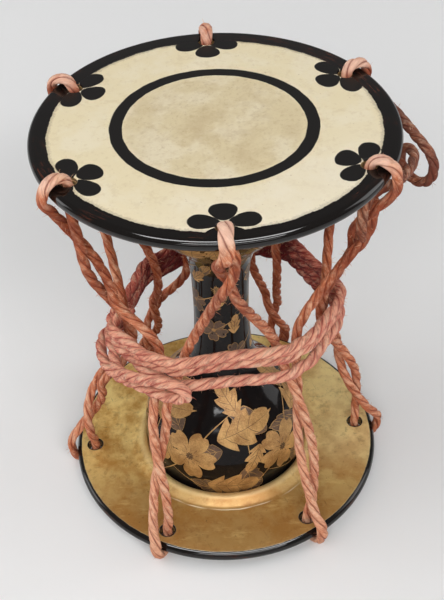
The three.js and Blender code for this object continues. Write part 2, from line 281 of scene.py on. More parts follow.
def strand_rings(route, radius, lay, phase, spread):
    """Rings of points round one strand, and how far along the strand each ring is."""
    _, side, up = carried(route)
    far = distances(route)
    angle = phase - 2 * math.pi * far / lay
    out = np.cos(angle)[:, None] * side + np.sin(angle)[:, None] * up
    core = route + out * radius * strand_reach
    across = np.cross(unit(np.gradient(core, axis=0)), out)
    wobble = np.array([noise.noise(Vector((s / uneven_length, phase * 5, radius))) for s in far])
    thick = radius * (1 + uneven_share * wobble)
    rings = []
    for k in range(strand_sides):
        a = 2 * math.pi * k / strand_sides + math.pi
        shape = math.cos(a) * strand_height * out + math.sin(a) * strand_width * across
        rings.append(core + thick[:, None] * shape)
    rings = np.stack(rings, axis=1)
    if spread is not None:
        rings = flattened(rings, route, spread)
    return rings, distances(core)


def flattened(rings, route, spread):
    """Rings drawn wider along the drum's rim and thinner across it, by a spread for each point."""
    middles = route[:, None, :]
    rim = unit(np.stack([-route[:, 1], route[:, 0], np.zeros(len(route))], axis=1))[:, None, :]
    offset = rings - middles
    sideways = (offset * rim).sum(2, keepdims=True) * rim
    s = spread[:, None, None]
    return middles + sideways * (1 + rim_widening * s) + (offset - sideways) * (1 - rim_thinning * s)


def rope(name, route, diameter, lay, slot, replaces, spread=None):
    """A three-strand rope along a route. Its map runs along the strand in millimetres, and round it."""
    route = np.array(route)
    n = strand_sides
    points, faces, places = [], [], []
    for strand in range(strand_count):
        phase = 2 * math.pi * strand / strand_count
        rings, far = strand_rings(route, diameter / 2, lay, phase, spread)
        first = len(points)
        points.extend(rings.reshape(-1, 3))
        for i, (here, ahead) in enumerate(zip(far, far[1:])):
            a = first + i * n
            for k in range(n):
                m = (k + 1) % n
                faces.append((a + k, a + m, a + n + m, a + n + k))
                places += [(here, k / n), (here, (k + 1) / n), (ahead, (k + 1) / n), (ahead, k / n)]
        for ring, order in ((0, -1), (len(rings) - 1, 1)):
            a = first + ring * n
            faces.append(tuple(range(a, a + n))[::order])
            places += [(far[ring], 0.5)] * n
    made = piece(name, points, faces, HEADS, slot, replaces)
    made.data.uv_layers.new(name="lay").uv.foreach_set("vector", np.array(places, dtype=np.float32).ravel())
    return made


# %% [markdown]
# ## The free tail
# The end of the lacing rope comes down from the last bight, runs along the rim, makes a loose eye, goes
# in between the two strands of the next hole and hangs to its cut end. It is limp hemp, 6 mm thick.

# %% Free tail
lace_diameter = 6.0
# How far along a rope its strands go in one turn, in millimetres
tail_lay = 24
tail_points = [
    (87.6, 54.75, 252.85),
    (87.7, 54.75, 249.5),
    (91.2, 51.5, 244.8),
    (96.5, 43.0, 243.6),
    (102.1, 31.0, 243.2),
    (106.7, 20.4, 241.8),
    (111.2, 10.8, 239.6),
    (115.4, 2.7, 237.4),
    (118.5, -2.8, 233.0),
    (119.0, -4.8, 225.8),
    (116.4, -2.8, 219.0),
    (111.1, 3.0, 215.8),
    (105.9, 8.7, 219.0),
    (103.3, 10.8, 225.8),
    (103.8, 8.7, 233.0),
    (106.6, 3.2, 237.2),
    (107.4, -4.5, 238.2),
    (105.3, -13.0, 238.6),
    (101.0, -22.0, 239.4),
    (95.3, -31.0, 241.6),
    (89.3, -38.6, 244.4),
    (83.6, -44.4, 246.0),
    (77.5, -49.6, 244.8),
    (74.3, -54.0, 240.0),
    (73.6, -55.6, 232.0),
    (73.6, -55.8, 223.0),
]
tail_route = smooth(tail_points, step=0.8)
tail = rope("tail_rope", tail_route, lace_diameter, tail_lay, "lacing_hemp", ["tail_cord"])

# %% [markdown]
# ## The lacing rope
# One rope joins the heads. It comes out of a hole, crosses the edge of the head in a bight and goes to
# the other head. The two strands that share a hole are wound round each other. At the waist the second
# rope holds them in. The route is worked out as in the solid model.

# %% Sizes of the ropes
lacing_lay = 36
girdle_lay = 33
bight_rise = 0.6
bight_corner = 0.72
girdle_diameter = 7.0
waist_radius = 60.5
waist_shift = 2.0
girdle_turns = 3
girdle_pitch = girdle_diameter + 0.5
girdle_half = 1.47 * girdle_pitch
girdle_tilt = 7.0
girdle_lean = 8.0
girdle_drop = 3.0
girdle_sag = 5.0
girdle_start = -160.0
sag_angle = -75.0
rope_clearance = 0.45
# The points of two strands that wind round each other: how far apart, and the turn of the first
twist_step = 9.0
twist_lead = 4.0
# For each hole of a head: where the two strands start to wind, touch and part, as shares of half the
# drum's length, then how far they turn and lean round the drum, in degrees
twists = {
    upper: [
        (0.063, 0.189, 0.378, 262, 0),
        (0.0945, 0.307, 0.4725, 262, 0),
        *[(0.063, 0.189, 0.4725, 262, 0)] * 3,
        (0.063, 0.189, 0.693, 262, 0),
    ],
    lower: [
        (0.0945, 0.3, 0.772, 262, -7),
        (0.0945, 0.3, 0.772, 215, 5),
        (0.0945, 0.3, 0.646, 262, 0),
        (0.0945, 0.3, 0.52, 262, 0),
        (0.0945, 0.3, 0.567, 262, 0),
        (0.0945, 0.3, 0.5355, 262, 0),
    ],
}
# How far a strand lies off the middle between its holes, above the girdle and below it, in degrees
down_shift = [(10, 16), (-8, -4), (5, 5), (2, 4), (18, 18), (3, 2)]
up_shift = [(-3, -4.5), (-26, -24), (-7, -8), (-3, -5), (5, 2), (-8, -14.5)]
lace_radius = lace_diameter / 2
lace_standoff = lace_radius + clearance
over_rim = rim_radius + lace_standoff
pair_middle = (hole_circle + rim_centre + over_rim) / 2
pair_spread = (rim_centre + over_rim - hole_circle) / 2
pair_contact = (lace_diameter + rope_clearance) / 2 + 0.67


def girdle_middle(angle):
    """The girdle lies a little askew: its middle height at an angle round the drum."""
    a = math.radians(angle)
    return middle - girdle_drop + girdle_tilt * math.cos(a) - girdle_lean * math.sin(a)


def waist_at(angle):
    return waist_radius + waist_shift * math.cos(math.radians(angle))


def waist_angles(above, shifts):
    """A strand's two angles at the waist, between hole k + above of the upper head and k + 1 below."""
    ends = [(hole_angle(upper, k + above) + hole_angle(lower, k + 1)) / 2 for k in range(hole_count)]
    return [[end + shift for shift in pair] for end, pair in zip(ends, shifts)]


down_at_waist = waist_angles(0, down_shift)
up_at_waist = waist_angles(1, up_shift)
print("strands at the waist:", down_at_waist, up_at_waist)

# %% Bights, twisted pairs and the whole lacing route
def bight(head, k, rise):
    """Out of a hole, across the edge of the head and down over its rim."""
    corner = bight_corner * over_rim
    places = [
        (hole_circle, -lace_radius),
        (hole_circle + 0.4 * hole_radius, 0.3 * lace_diameter),
        (hole_circle + hole_radius, lace_standoff + rise),
        (rim_centre, lace_standoff + rise),
        (rim_centre + corner, corner - rim_radius),
        (rim_centre + over_rim, -rim_radius - 0.5),
    ]
    return [polar(r, hole_angle(head, k), head.face + head.outward * h) for r, h in places]


def twisted_part(head, k, part):
    """One strand of a hole, where the two wind round each other and close up until they touch."""
    *shares, turn_through, lean = twists[head][k % hole_count]
    start, touch, end = [share * drum_length / 2 for share in shares]
    angle = hole_angle(head, k)
    steps = round((end - start) / twist_step)
    places = []
    for i in range(steps + 1):
        depth = mix(start, end, i / steps)
        turn = math.radians(mix(twist_lead, turn_through, i / steps))
        closing = max(0, 1 - (depth - start) / (touch - start)) ** 2
        reach = part * mix(pair_contact, pair_spread, closing)
        inward = max(0, (depth - hole_inset) / (drum_length / 2 - hole_inset))
        r = mix(pair_middle, waist_radius, inward) + reach * math.cos(turn)
        aside = polar(-reach * math.sin(turn), angle + 90, 0)
        places.append(polar(r, angle + lean * i / steps, head.face - head.outward * depth) + aside)
    return places


def at_waist(angles):
    """Where a strand passes under the girdle's upper and lower edge."""
    edges = zip(angles, (girdle_half, -girdle_half))
    return [polar(waist_at(a), a, girdle_middle(a) + h) for a, h in edges]


def lace_stretch(k):
    """One strand down and the next one up, with the lower bight between them."""
    return [
        *twisted_part(upper, k, 1),
        *at_waist(down_at_waist[k]),
        *twisted_part(lower, k + 1, -1)[::-1],
        *bight(lower, k + 1, 0),
        *twisted_part(lower, k + 1, 1),
        *at_waist(up_at_waist[k])[::-1],
        *twisted_part(upper, k + 1, -1)[::-1],
    ]


end_hole = round(hole_count / 3)
lace_points = []
for turn in range(hole_count):
    hole = (end_hole + turn) % hole_count
    stretch = lace_stretch(hole)
    lace_points += stretch[1:] if turn == 0 else stretch
    lace_points += bight(upper, hole + 1, bight_rise)
lace_end = upper.face - rim_radius - lace_radius
lace_points.append(polar(rim_centre + over_rim, hole_angle(upper, end_hole), lace_end))
print("lacing route:", len(lace_points), "points")

# %% Lacing rope
# The rope flattens where it is outside the circle of holes and near a face, in millimetres
spread_start = hole_circle - 2
spread_width = 6
spread_depth = 8
spread_fade = 16
lace_route = np.array(smooth(lace_points, step=1.7))
beyond = np.hypot(lace_route[:, 0], lace_route[:, 1]) - spread_start
near_face = np.minimum(abs(lace_route[:, 2] - upper.face), abs(lace_route[:, 2] - lower.face))
fading = np.clip(1 - (near_face - spread_depth) / spread_fade, 0, 1)
lace_spread = np.clip(beyond / spread_width, 0, 1) * fading
lace_look = (lace_diameter, lacing_lay, "lacing_hemp")
lacing = rope("lacing_rope", lace_route, *lace_look, ["lacing_cord"], lace_spread)
print(f"lacing: {distances(lace_route)[-1]:.0f} mm long")

# %% [markdown]
# ## The girdle rope
# It hooks round the front left pair of strands, then winds three times round the waist, climbing
# steadily and sagging a little at the front. Between the strands it runs straight, as a taut rope does.

# %% Girdle route
supports = sorted(sum(angles) / 2 % 360 for angles in down_at_waist + up_at_waist)
girdle_stand = lace_radius + rope_clearance + girdle_diameter / 2


def taut_radius(angle):
    """The radius of a taut loop that the strands carry and that runs straight between them."""
    a = angle % 360
    above = [s for s in supports if s > a]
    high = above[0] if above else supports[0] + 360
    low = [s for s in [supports[-1] - 360, *supports] if s <= a][-1]
    corner = waist_at(angle) + girdle_stand
    return corner * math.cos(math.radians(high - low) / 2) / math.cos(math.radians(a - (high + low) / 2))


turn_angles = []
for support, following in zip(supports, supports[1:] + [supports[0] + 360]):
    turn_angles += [support, (support + following) / 2]

# The turns stand a little off the strands, and splay where they are far from the girdle's middle
hook_gap = 3
turn_standoff = 1.25
splay_share = 0.5
splay_from = 6
winding = []
winding_end = girdle_start - 360 * girdle_turns
for turn in range(girdle_turns + 2):
    for stop in turn_angles[::-1]:
        angle = stop - 360 * turn
        if winding_end < angle < girdle_start - hook_gap:
            climb = girdle_pitch * ((girdle_start - angle) / 360 - girdle_turns / 2)
            from_sag = abs(angle + 360 - sag_angle)
            sag = girdle_sag * math.cos(math.radians(from_sag)) ** 2 if from_sag < 90 else 0
            splay = turn_standoff + splay_share * max(0, abs(climb - sag) - splay_from)
            winding.append((taut_radius(angle) + splay, angle, girdle_middle(angle) + climb - sag))

low = girdle_middle(girdle_start) - girdle_pitch * girdle_turns / 2
high = low + girdle_pitch * girdle_turns
on_pair = taut_radius(lower.first_hole)
hook = [
    (waist_radius - 6, -197, low - 13),
    (waist_radius + 6, -193, low - 13.5),
    (on_pair + 7.5, -187, low - 13.5),
    (on_pair + 9.5, -177, low - 13),
    (on_pair + 8.5, -164, low - 11.5),
    (on_pair + 6.5, -150, low - 6.5),
    (on_pair + 5.5, -136, low),
    (on_pair + 6.9, -122, low + 4.3),
    (on_pair + 10.4, -111, low + 9.5),
    (on_pair + 12.9, -105.5, low + 16),
    (on_pair + 13.2, -107.5, low + 22),
    (on_pair + 12.8, -116, low + 21.9),
    (on_pair + 11.4, -130, low + 14.9),
    (on_pair + 8.5, -146, low + 4.3),
]
tuck = [
    (on_pair - 2, -164, high),
    (waist_radius, -166, high + 0.5),
    (waist_radius - 7, -166, high + 0.5),
]
girdle_route = smooth([polar(*place) for place in hook + winding + tuck], step=1.6)
girdle = rope("girdle_rope", girdle_route, girdle_diameter, girdle_lay, "girdle_hemp", ["girdle_cord"])
print(f"girdle: {distances(np.array(girdle_route))[-1]:.0f} mm long, {len(winding)} points in its turns")

# %% [markdown]
# ## The hides
# A head is one skin laid over an iron ring, folded back underneath and sewn to itself round a smaller
# circle, where it stands up as a collar against the body. It is turned as one closed section, finer
# than the solid, and the holes for the lacing are cut through it with drills whose edges flare.

# %% Turned shapes
def arc(r, z, radius, start, end, steps):
    """Points of an arc in a turned section, both ends included."""
    found = []
    for i in range(steps + 1):
        a = math.radians(mix(start, end, i / steps))
        found.append((r + radius * math.cos(a), z + radius * math.sin(a)))
    return found


def smooth_section(places, step):
    """A smooth line through points of a section."""
    return [(p.x, p.y) for p in smooth([Vector((r, z, 0)) for r, z in places], step)]


def turned(section, facets):
    """Points and faces of a section turned about the axis. It closes on itself or ends on the axis."""
    on_axis = section[0][0] == 0 and section[-1][0] == 0
    points, rows = [], []
    for r, z in section:
        if r == 0:
            rows.append([len(points)] * facets)
            points.append((0, 0, z))
        else:
            rows.append(range(len(points), len(points) + facets))
            points.extend(polar(r, 360 * k / facets, z) for k in range(facets))
    faces = []
    for low, up in zip(rows, rows[1:] if on_axis else rows[1:] + rows[:1]):
        for k in range(facets):
            m = (k + 1) % facets
            face = dict.fromkeys((low[k], low[m], up[m], up[k]))
            if len(face) > 2:
                faces.append(tuple(face))
    return points, faces


# %% Section of a hide
# Radii of the rings of points on the flat face
face_rings = (16, 32, 48, 58, 68, 78)


def hide_section():
    """The hide's section in a head's own heights: the face at 0 and the underside below it."""
    t = hide_thickness
    back = -head_thickness
    crest = back - collar_height
    bend = collar_width * 0.3
    rising = mix(back, crest, 0.65)
    falling = mix(crest, back, 0.3)
    neck = mix(crest, back, 0.9)
    fold_end = -t - clearance
    outer = [
        (collar_inner + collar_width + 2, back),
        (collar_inner + collar_width, back),
        (collar_inner + 2 * bend, rising),
        (collar_inner + bend, crest),
        (collar_inner + bend / 3, falling),
        (collar_inner, neck),
        (collar_inner, fold_end),
    ]
    inner = [
        (collar_inner + t, fold_end),
        (collar_inner + t, neck),
        (collar_inner + bend, crest + t),
        (collar_inner + 2 * bend, rising + t),
        (collar_inner + collar_width, back + t),
    ]
    return [
        (0, 0),
        *[(r, 0) for r in face_rings],
        *arc(rim_centre, -rim_radius, rim_radius, 90, -90, 18),
        (face_rings[-1], back),
        *smooth_section(outer, 1.4),
        *smooth_section(inner, 1.6),
        *arc(rim_centre, -rim_radius, rim_radius - t, -90, 90, 10),
        (face_rings[-1], -t),
        (0, -t),
    ]


head_section = hide_section()
head_facets = 192
print("hide section:", len(head_section), "points")

# %% Drills for the lace holes
# A drill's radius and height, from above the face to below the underside. It is wider at both edges.
drill_section = [(0, 2), (6.2, 2), (6.2, 0.9), (5.3, 0.25), (4.75, -0.25), (4.5, -1)]
drill_section += [(4.5, -6), (4.75, -6.75), (5.3, -7.25), (6.2, -7.9), (6.2, -9), (0, -9)]
drill_facets = 28
hide_crease = math.radians(34)


def drill_shape(head):
    """A drill for each hole of a head, as one mesh."""
    shape, sides = turned(drill_section[::-1], drill_facets)
    points, faces = [], []
    for k in range(hole_count):
        centre = polar(hole_circle, hole_angle(head, k), head.face)
        first = len(points)
        points += [(centre.x + x, centre.y + y, centre.z + head.outward * z) for x, y, z in shape]
        faces += [tuple(first + v for v in side[::head.outward]) for side in sides]
    return points, faces


def bore(made, head):
    """Cuts the lace holes through a head's hide."""
    drills = mesh_object("drills", *drill_shape(head))
    cut = made.modifiers.new("holes", "BOOLEAN")
    cut.object = drills
    cut.solver = "EXACT"
    bpy.context.view_layer.update()
    ready = made.evaluated_get(bpy.context.evaluated_depsgraph_get())
    mesh = bpy.data.meshes.new_from_object(ready)
    made.modifiers.clear()
    made.data = mesh
    bpy.data.objects.remove(drills)
    mesh.polygons.foreach_set("use_smooth", [True] * len(mesh.polygons))
    mesh.set_sharp_from_angle(angle=hide_crease)
    print(made.name, "bored:", len(mesh.polygons), "faces")


# %% Both hides
hides = {}
for head in (upper, lower):
    section = [(r, head.face + head.outward * z) for r, z in head_section]
    shape = turned(section[::head.outward], head_facets)
    hides[head] = piece(f"{head.name}_hide", *shape, HEADS, "hide", [head.node])
    bore(hides[head], head)

# %% [markdown]
# ## The wooden body
# The body is one turned piece: two bowls joined by a stem and bored from end to end. A smooth line goes
# through the solid's corners. The same line later carries the gold decoration.

# %% Section of the body
mouth_radius = 50.2
bowl_radius = 52.5
bowl_depth = 78.0
bowl_wall = 5.2
bowl_inner = bowl_radius - bowl_wall
bowl_rounding = 1.2
lip_width = 3.8
stem_radius = 17.5
bore_radius = 11.0
mouth_height = drum_length / 2 - hide_thickness - clearance
collar_reach = head_thickness + collar_height - hide_thickness - clearance
# Where a bowl narrows to the stem, outside and inside, by shares of its width and of its depth
outside_shares = [(0.84, 0.62), (0.63, 0.76), (0.38, 0.88), (0.17, 1), (0.06, 1.12)]
inside_shares = [(0.82, 0.6), (0.56, 0.75), (0.26, 0.88), (0.07, 1.04)]


def narrowing(least, most, shares):
    """Radius and distance from the mouth at the places where a bowl narrows."""
    return [(mix(least, most, wide), bowl_depth * deep) for wide, deep in shares]


outside_half = [
    (mouth_radius, 0),
    (collar_inner - seat_gap, collar_reach),
    (bowl_radius, bowl_depth * 0.3),
    (bowl_radius - bowl_rounding, bowl_depth * 0.46),
    *narrowing(stem_radius, bowl_radius, outside_shares),
    (stem_radius, bowl_depth * 1.3),
]
inside_half = [
    (mouth_radius - lip_width, 0),
    (bowl_inner, bowl_depth * 0.22),
    (bowl_inner - bowl_rounding, bowl_depth * 0.42),
    *narrowing(bore_radius, bowl_inner, inside_shares),
    (bore_radius, bowl_depth * 1.25),
]


def whole_side(half, step):
    """A half section from the lower mouth, joined to its mirror image from the upper one."""
    below = [(r, middle - mouth_height + h) for r, h in half]
    above = [(r, middle + mouth_height - h) for r, h in half]
    return smooth_section(below + above[::-1], step)


# %% Turned body
body_outside = whole_side(outside_half, step=2.0)
body_inside = whole_side(inside_half, step=3.0)
body_facets = 160
body_crease = math.radians(50)
body_shape = turned(body_outside + body_inside[::-1], body_facets)
drum_body = piece("turned_body", *body_shape, BODY, "lacquered_wood", ["drum_body"])
drum_body.data.set_sharp_from_angle(angle=body_crease)

# %% [markdown]
# ## Finishes
# A finish is a material made of nodes. One small class makes it: its node method adds any node, with
# its settings first and then its inputs. A value wraps a node's output, and Python's operators on
# values add Math nodes, so a mask reads as the sum it is. Colours go on in coats, as paint does.

# %% Values
def operator(operation, flipped=False):
    """A method of a value that adds a Math node. A flipped one puts the value last."""
    def applied(self, *others):
        return self.finish.math(operation, *((*others, self) if flipped else (self, *others)))
    return applied


class Value:
    """A number that changes over a surface. Operators on it add Math nodes."""

    __add__ = operator("ADD")
    __sub__ = operator("SUBTRACT")
    __rsub__ = operator("SUBTRACT", flipped=True)
    __mul__ = operator("MULTIPLY")
    __truediv__ = operator("DIVIDE")
    __pow__ = operator("POWER")
    __abs__ = operator("ABSOLUTE")
    larger = operator("MAXIMUM")
    cosine = operator("COSINE")
    sine = operator("SINE")
    arctan2 = operator("ARCTAN2")
    wrap = operator("WRAP")
    pingpong = operator("PINGPONG")

    def __init__(self, finish, socket):
        self.finish = finish
        self.socket = socket

    def step(self, low, high):
        """0 below low and 1 above high, with a soft change. Where low is the greater, 1 below high."""
        ends = {"From Min": min(low, high), "From Max": max(low, high)}
        levels = {"To Min": float(low > high), "To Max": float(low < high)}
        settings = {"interpolation_type": "SMOOTHSTEP"}
        return self.finish.node("MapRange", settings, {"Value": self, **ends, **levels})


def length_of(x, y):
    return (x * x + y * y) ** 0.5


# %% Finishes
class Finish:
    """A material being made, with one principled surface. Its spot is a point's place in millimetres."""

    def __init__(self, name, **surface):
        self.material = bpy.data.materials.new(name)
        self.material.use_nodes = True
        self.tree = self.material.node_tree
        self.surface = self.tree.nodes["Principled BSDF"]
        self.shade(**surface)
        place = self.node("TexCoord", {}, {}, "Object")
        self.spot = self.node("VectorMath", {"operation": "SCALE"}, {0: place, "Scale": 1 / MM})

    def node(self, kind, settings, inputs, output=0):
        """Adds a node: its settings first, then its inputs, and gives one of its outputs."""
        made = self.tree.nodes.new("ShaderNode" + kind)
        for key, value in settings.items():
            setattr(made, key, value)
        for key, value in inputs.items():
            self.feed(made.inputs[key], value)
        return Value(self, made.outputs[output])

    def feed(self, socket, value):
        if isinstance(value, Value):
            self.tree.links.new(value.socket, socket)
        else:
            socket.default_value = value

    def math(self, operation, *values):
        return self.node("Math", {"operation": operation}, dict(enumerate(values)))

    def colour(self, mask, without, full):
        """One colour where the mask is 0 and another where it is 1. Tuples are levels on a screen."""
        without, full = (srgb(*c) if isinstance(c, tuple) else c for c in (without, full))
        return self.node("Mix", {"data_type": "RGBA"}, {0: mask, 6: without, 7: full}, 2)

    def coats(self, colour, *layers):
        """Colours laid over a first one, each with the mask of where it shows."""
        for mask, paint in layers:
            colour = self.colour(mask, colour, paint)
        return colour

    def parts(self, vector):
        """A vector's three numbers."""
        split = self.node("SeparateXYZ", {}, {0: vector}).socket.node
        return [Value(self, output) for output in split.outputs]

    def vector(self, x, y, z):
        return self.node("CombineXYZ", {}, {0: x, 1: y, 2: z})

    def noise(self, size, detail=2.0, roughness=0.5, seed=0.0, at=None):
        """Soft noise from 0 to 1, with features of about one size in millimetres."""
        inputs = {"W": seed, "Scale": 1 / size, "Detail": detail, "Roughness": roughness}
        return self.node("TexNoise", {"noise_dimensions": "4D"}, {"Vector": at or self.spot, **inputs})

    def bump(self, height, depth):
        """A bump from a height of 0 to 1, of a depth in millimetres."""
        return self.node("Bump", {}, {"Height": height, "Distance": depth * MM, "Strength": 1.0})

    def shade(self, **links):
        """Feeds the surface, such as Base Color, Roughness, Metallic or Normal."""
        for key, value in links.items():
            self.feed(self.surface.inputs[key.replace("_", " ").title().replace("Ior", "IOR")], value)
        return self.material


print("finishes are ready to be made")

# %% [markdown]
# ## Painted and gilded hide
# The struck side is bare hide: cream, warmer and blotched where the hands strike it. A black ring,
# a flower at each hole and the rim are painted on it in lacquer with a brush, so their edges wander a
# little. The inner side is covered in gold leaf, laid in squares. One finish holds all of it, with
# masks made from a point's radius, its depth below the face and its place beside the nearest hole.

# %% Places on a hide
def hide_places(made, head):
    """Depth below the face, radius, turn of the nearest hole, and the place beside it."""
    x, y, z = made.parts(made.spot)
    r = length_of(x, y)
    angle = y.arctan2(x) * (180 / math.pi) - head.first_hole
    beyond_hole = angle.wrap(hole_step / 2, -hole_step / 2)
    beside = beyond_hole * (math.pi / 180)
    out = r * beside.cosine() - hole_circle
    return (head.face - z) * head.outward, r, angle - beyond_hole, out, r * beside.sine()


# %% Painted flowers
flower_inset = 2.6
petal_fullness = 0.26
# Each petal's turn from the inward one, how far out its middle is, its half length and half width
petals = [(0, 9.3, 6.9, 6.9), (78, 10.2, 8.4, 5.5), (146, 10.0, 7.0, 4.8)]


def petal(out, along, sizes, grow):
    """How far inside one petal a point is, in millimetres. The flower is the same on both sides."""
    turn, reach, length, width = sizes
    c = math.cos(math.radians(turn))
    s = math.sin(math.radians(turn))
    inward = (out + flower_inset) * -1
    lengthways = inward * c + along * s - reach
    sideways = along * c - inward * s
    fuller = lengthways * (petal_fullness / length) + 1
    far = length_of(lengthways / length, sideways / (fuller * width))
    return (1 - far) * width + grow


def flower(out, along, hand, bristle, shift):
    """The mask of the flowers. Each is shifted a little from its hole, as the brush went."""
    side = abs(along + hand + shift * 1.4)
    insides = [petal(out + shift * 1.6, side, sizes, hand * 0.8) for sizes in petals]
    inside = insides[0].larger(insides[1]).larger(insides[2])
    return (inside + bristle * 0.35).step(-0.12, 0.12)


# %% Bare skin
def bare_skin(made, x, y, r):
    """Cream skin with blotches, slanting streaks and freckles, deepest inside the ring."""
    blotch = made.noise(26, 4.0, 0.62, seed=5).step(0.44, 0.62)
    mottle = made.noise(5, 4.0, 0.7, seed=17).step(0.5, 0.66)
    pale_side = (y * -0.8 + x * 0.5).step(20, 95) * r.step(56, 60)
    stain = made.noise(30, 5.0, 0.72, seed=6).step(0.5, 0.7) * r.step(60, 30)
    slant = made.vector((x + y) * 0.05, (x - y) * 0.6, 0)
    streak = made.noise(3.0, 4.0, 0.65, seed=7, at=slant).step(0.5, 0.8) * r.step(62, 40)
    freckle = made.noise(2.4, 4.0, 0.7, seed=29).step(0.52, 0.64) * r.step(70, 44)
    speck = made.noise(1.6, 2.0, 0.5, seed=8).step(0.68, 0.76)
    return made.coats(
        (236, 221, 184),
        (r.step(52, 46), (222, 205, 166)),
        (blotch * 0.45, (243, 233, 209)),
        (mottle * 0.24, (204, 180, 136)),
        (pale_side * 0.5, (243, 234, 216)),
        (stain * 0.42, (186, 160, 118)),
        (streak * 0.3, (190, 168, 128)),
        (freckle * 0.22, (176, 146, 102)),
        (speck * 0.4, (165, 130, 88)),
    )


# %% Gold leaf
leaf_width = 54
leaf_depth = 57
crease_radius = 65


def leaf_joints(x, y, hand):
    """Thin lines where the squares of gold leaf overlap."""
    lines = [
        (across + hand * 1.2 + leaf_width / 2).pingpong(width / 2).step(0.5, 0.2)
        for across, width in ((x, leaf_width), (y, leaf_depth))
    ]
    return lines[0].larger(lines[1])


def gilding(made, x, y, r, depth, hand, rubbed):
    """Gold leaf, rubbed and scratched, with painted shade at the front and painted highlights elsewhere."""
    leaf = made.noise(19, 5.0, 0.68, seed=11).step(0.36, 0.64)
    painted_light_right = x.step(25, 80) * y.step(-50, -10)
    across = made.vector(x * 0.35, y * 1.2, depth)
    sheen = made.noise(6, 4.0, 0.7, seed=27, at=across).step(0.54, 0.72)
    lengthways = made.vector((x + y * 0.4) * 0.5, (y - x * 0.4) * 0.05, 0)
    scratch = made.noise(1.0, 3.0, 0.6, seed=16, at=lengthways).step(0.62, 0.72)
    # A painted highlight along the crease at the foot of the collar, at the front
    crease_highlight = abs(r + hand * 1.6 - crease_radius).step(0.6, 0.2) * y.step(-42, -56)
    crease_highlight = crease_highlight * made.noise(20, 1.0, seed=18).step(0.4, 0.55)
    fleck = made.noise(1.7, 3.0, 0.6, seed=13).step(0.66, 0.72)
    joint = leaf_joints(x, y, hand) * rubbed.step(0.0, 0.6)
    return made.coats(
        (200, 148, 70),
        (leaf, (250, 220, 142)),
        # Painted shade: darker towards the front
        (y.step(15, -75) * 0.82, (146, 102, 48)),
        # Painted light: paler at the right
        (painted_light_right * 0.3, (255, 238, 186)),
        (rubbed * 0.42, (128, 84, 36)),
        # A painted sheen in streaks
        (sheen * 0.22, (255, 228, 150)),
        (scratch * 0.4, (96, 68, 36)),
        # Paler on the collar: partly wear, partly a painted highlight
        (r.step(59.5, 57) * 0.24, (250, 232, 180)),
        (crease_highlight * 0.8, (252, 240, 210)),
        (fleck * 0.6, (86, 62, 34)),
        (joint * 0.28, (118, 90, 48)),
    )


# %% Painted hide
# Depths and radii in millimetres between which the paint ends or starts
paint_ends = (3.6, 3.3)
rim_starts = (89.2, 89.6)
brushing_starts = (87.0, 88.8)
ring_outside = (56.5, 56.15)
ring_inside = (49.2, 49.5)
edge_starts = (96.9, 97.3)
hole_paint_ends = (5.6, 5.2)


def painted_hide(head):
    """Bare skin, black paint and gold leaf, each where its mask shows it."""
    made = Finish(f"painted_{head.name}_hide", specular_ior_level=0.4)
    x, y, _ = made.parts(made.spot)
    depth, r, hole, out, along = hide_places(made, head)
    hand = made.noise(9, 2.0, seed=1) - 0.5
    bristle = made.noise(1.2, 3.0, 0.6, seed=2) - 0.5
    shift = made.noise(40, 0, seed=3, at=made.vector(hole, 0, 0)) - 0.5
    struck = depth.step(*paint_ends)
    lopsided = r + y * 0.022
    rim = (lopsided + hand * 2.2 + bristle * 1.4).step(*rim_starts)
    brushed = (lopsided + hand * 3 + bristle * 5).step(*brushing_starts) * struck
    ring = (r + hand + bristle * 0.3).step(*ring_outside)
    ring = ring * (r + hand * 1.3 + bristle * 0.3).step(*ring_inside)
    painted = flower(out, along, hand, bristle, shift).larger(rim).larger(ring) * struck
    edge = (r + hand * 0.8 + bristle * 0.5).step(*edge_starts)
    hole_edge = (length_of(out, along) + bristle * 0.7).step(*hole_paint_ends) * (1 - struck)
    black = painted.larger(edge).larger(hole_edge)
    gold = (1 - struck) * (1 - black)
    rubbed = made.noise(5, 5.0, 0.7, seed=12).step(0.5, 0.7)
    round_rim = made.vector(r * 0.9, y.arctan2(x) * 7.2, depth)
    worn = made.noise(1.0, 3.0, 0.7, seed=9, at=round_rim).step(0.5, 0.64) * depth.step(8, 4)
    worn = worn * made.noise(24, 3.0, seed=19).step(0.48, 0.62) * r.step(86, 93)
    colour = made.coats(
        bare_skin(made, x, y, r),
        (brushed * 0.3, (122, 104, 78)),
        (gold, gilding(made, x, y, r, depth, hand, rubbed)),
        (black, made.colour(worn * 0.62, (17, 13, 11), (98, 50, 34))),
    )
    grain = made.noise(0.9, 3.0, 0.6, seed=14)
    ripple = made.noise(14, 2.0, seed=15)
    height = grain * (1 - black) * 0.25 + ripple * (1 - black * 0.85) * 0.75 + black * 0.12
    polish = r.step(94, 86) * 0.28 - 0.52
    return made.shade(
        base_color=colour,
        roughness=black * polish + gold * -0.2 + grain * 0.08 + rubbed * gold * 0.12 + 0.56,
        metallic=gold * 0.28,
        normal=made.bump(height, 0.35),
    )


for head, made in hides.items():
    dress(made, painted_hide(head))
    print(made.name, "is painted")
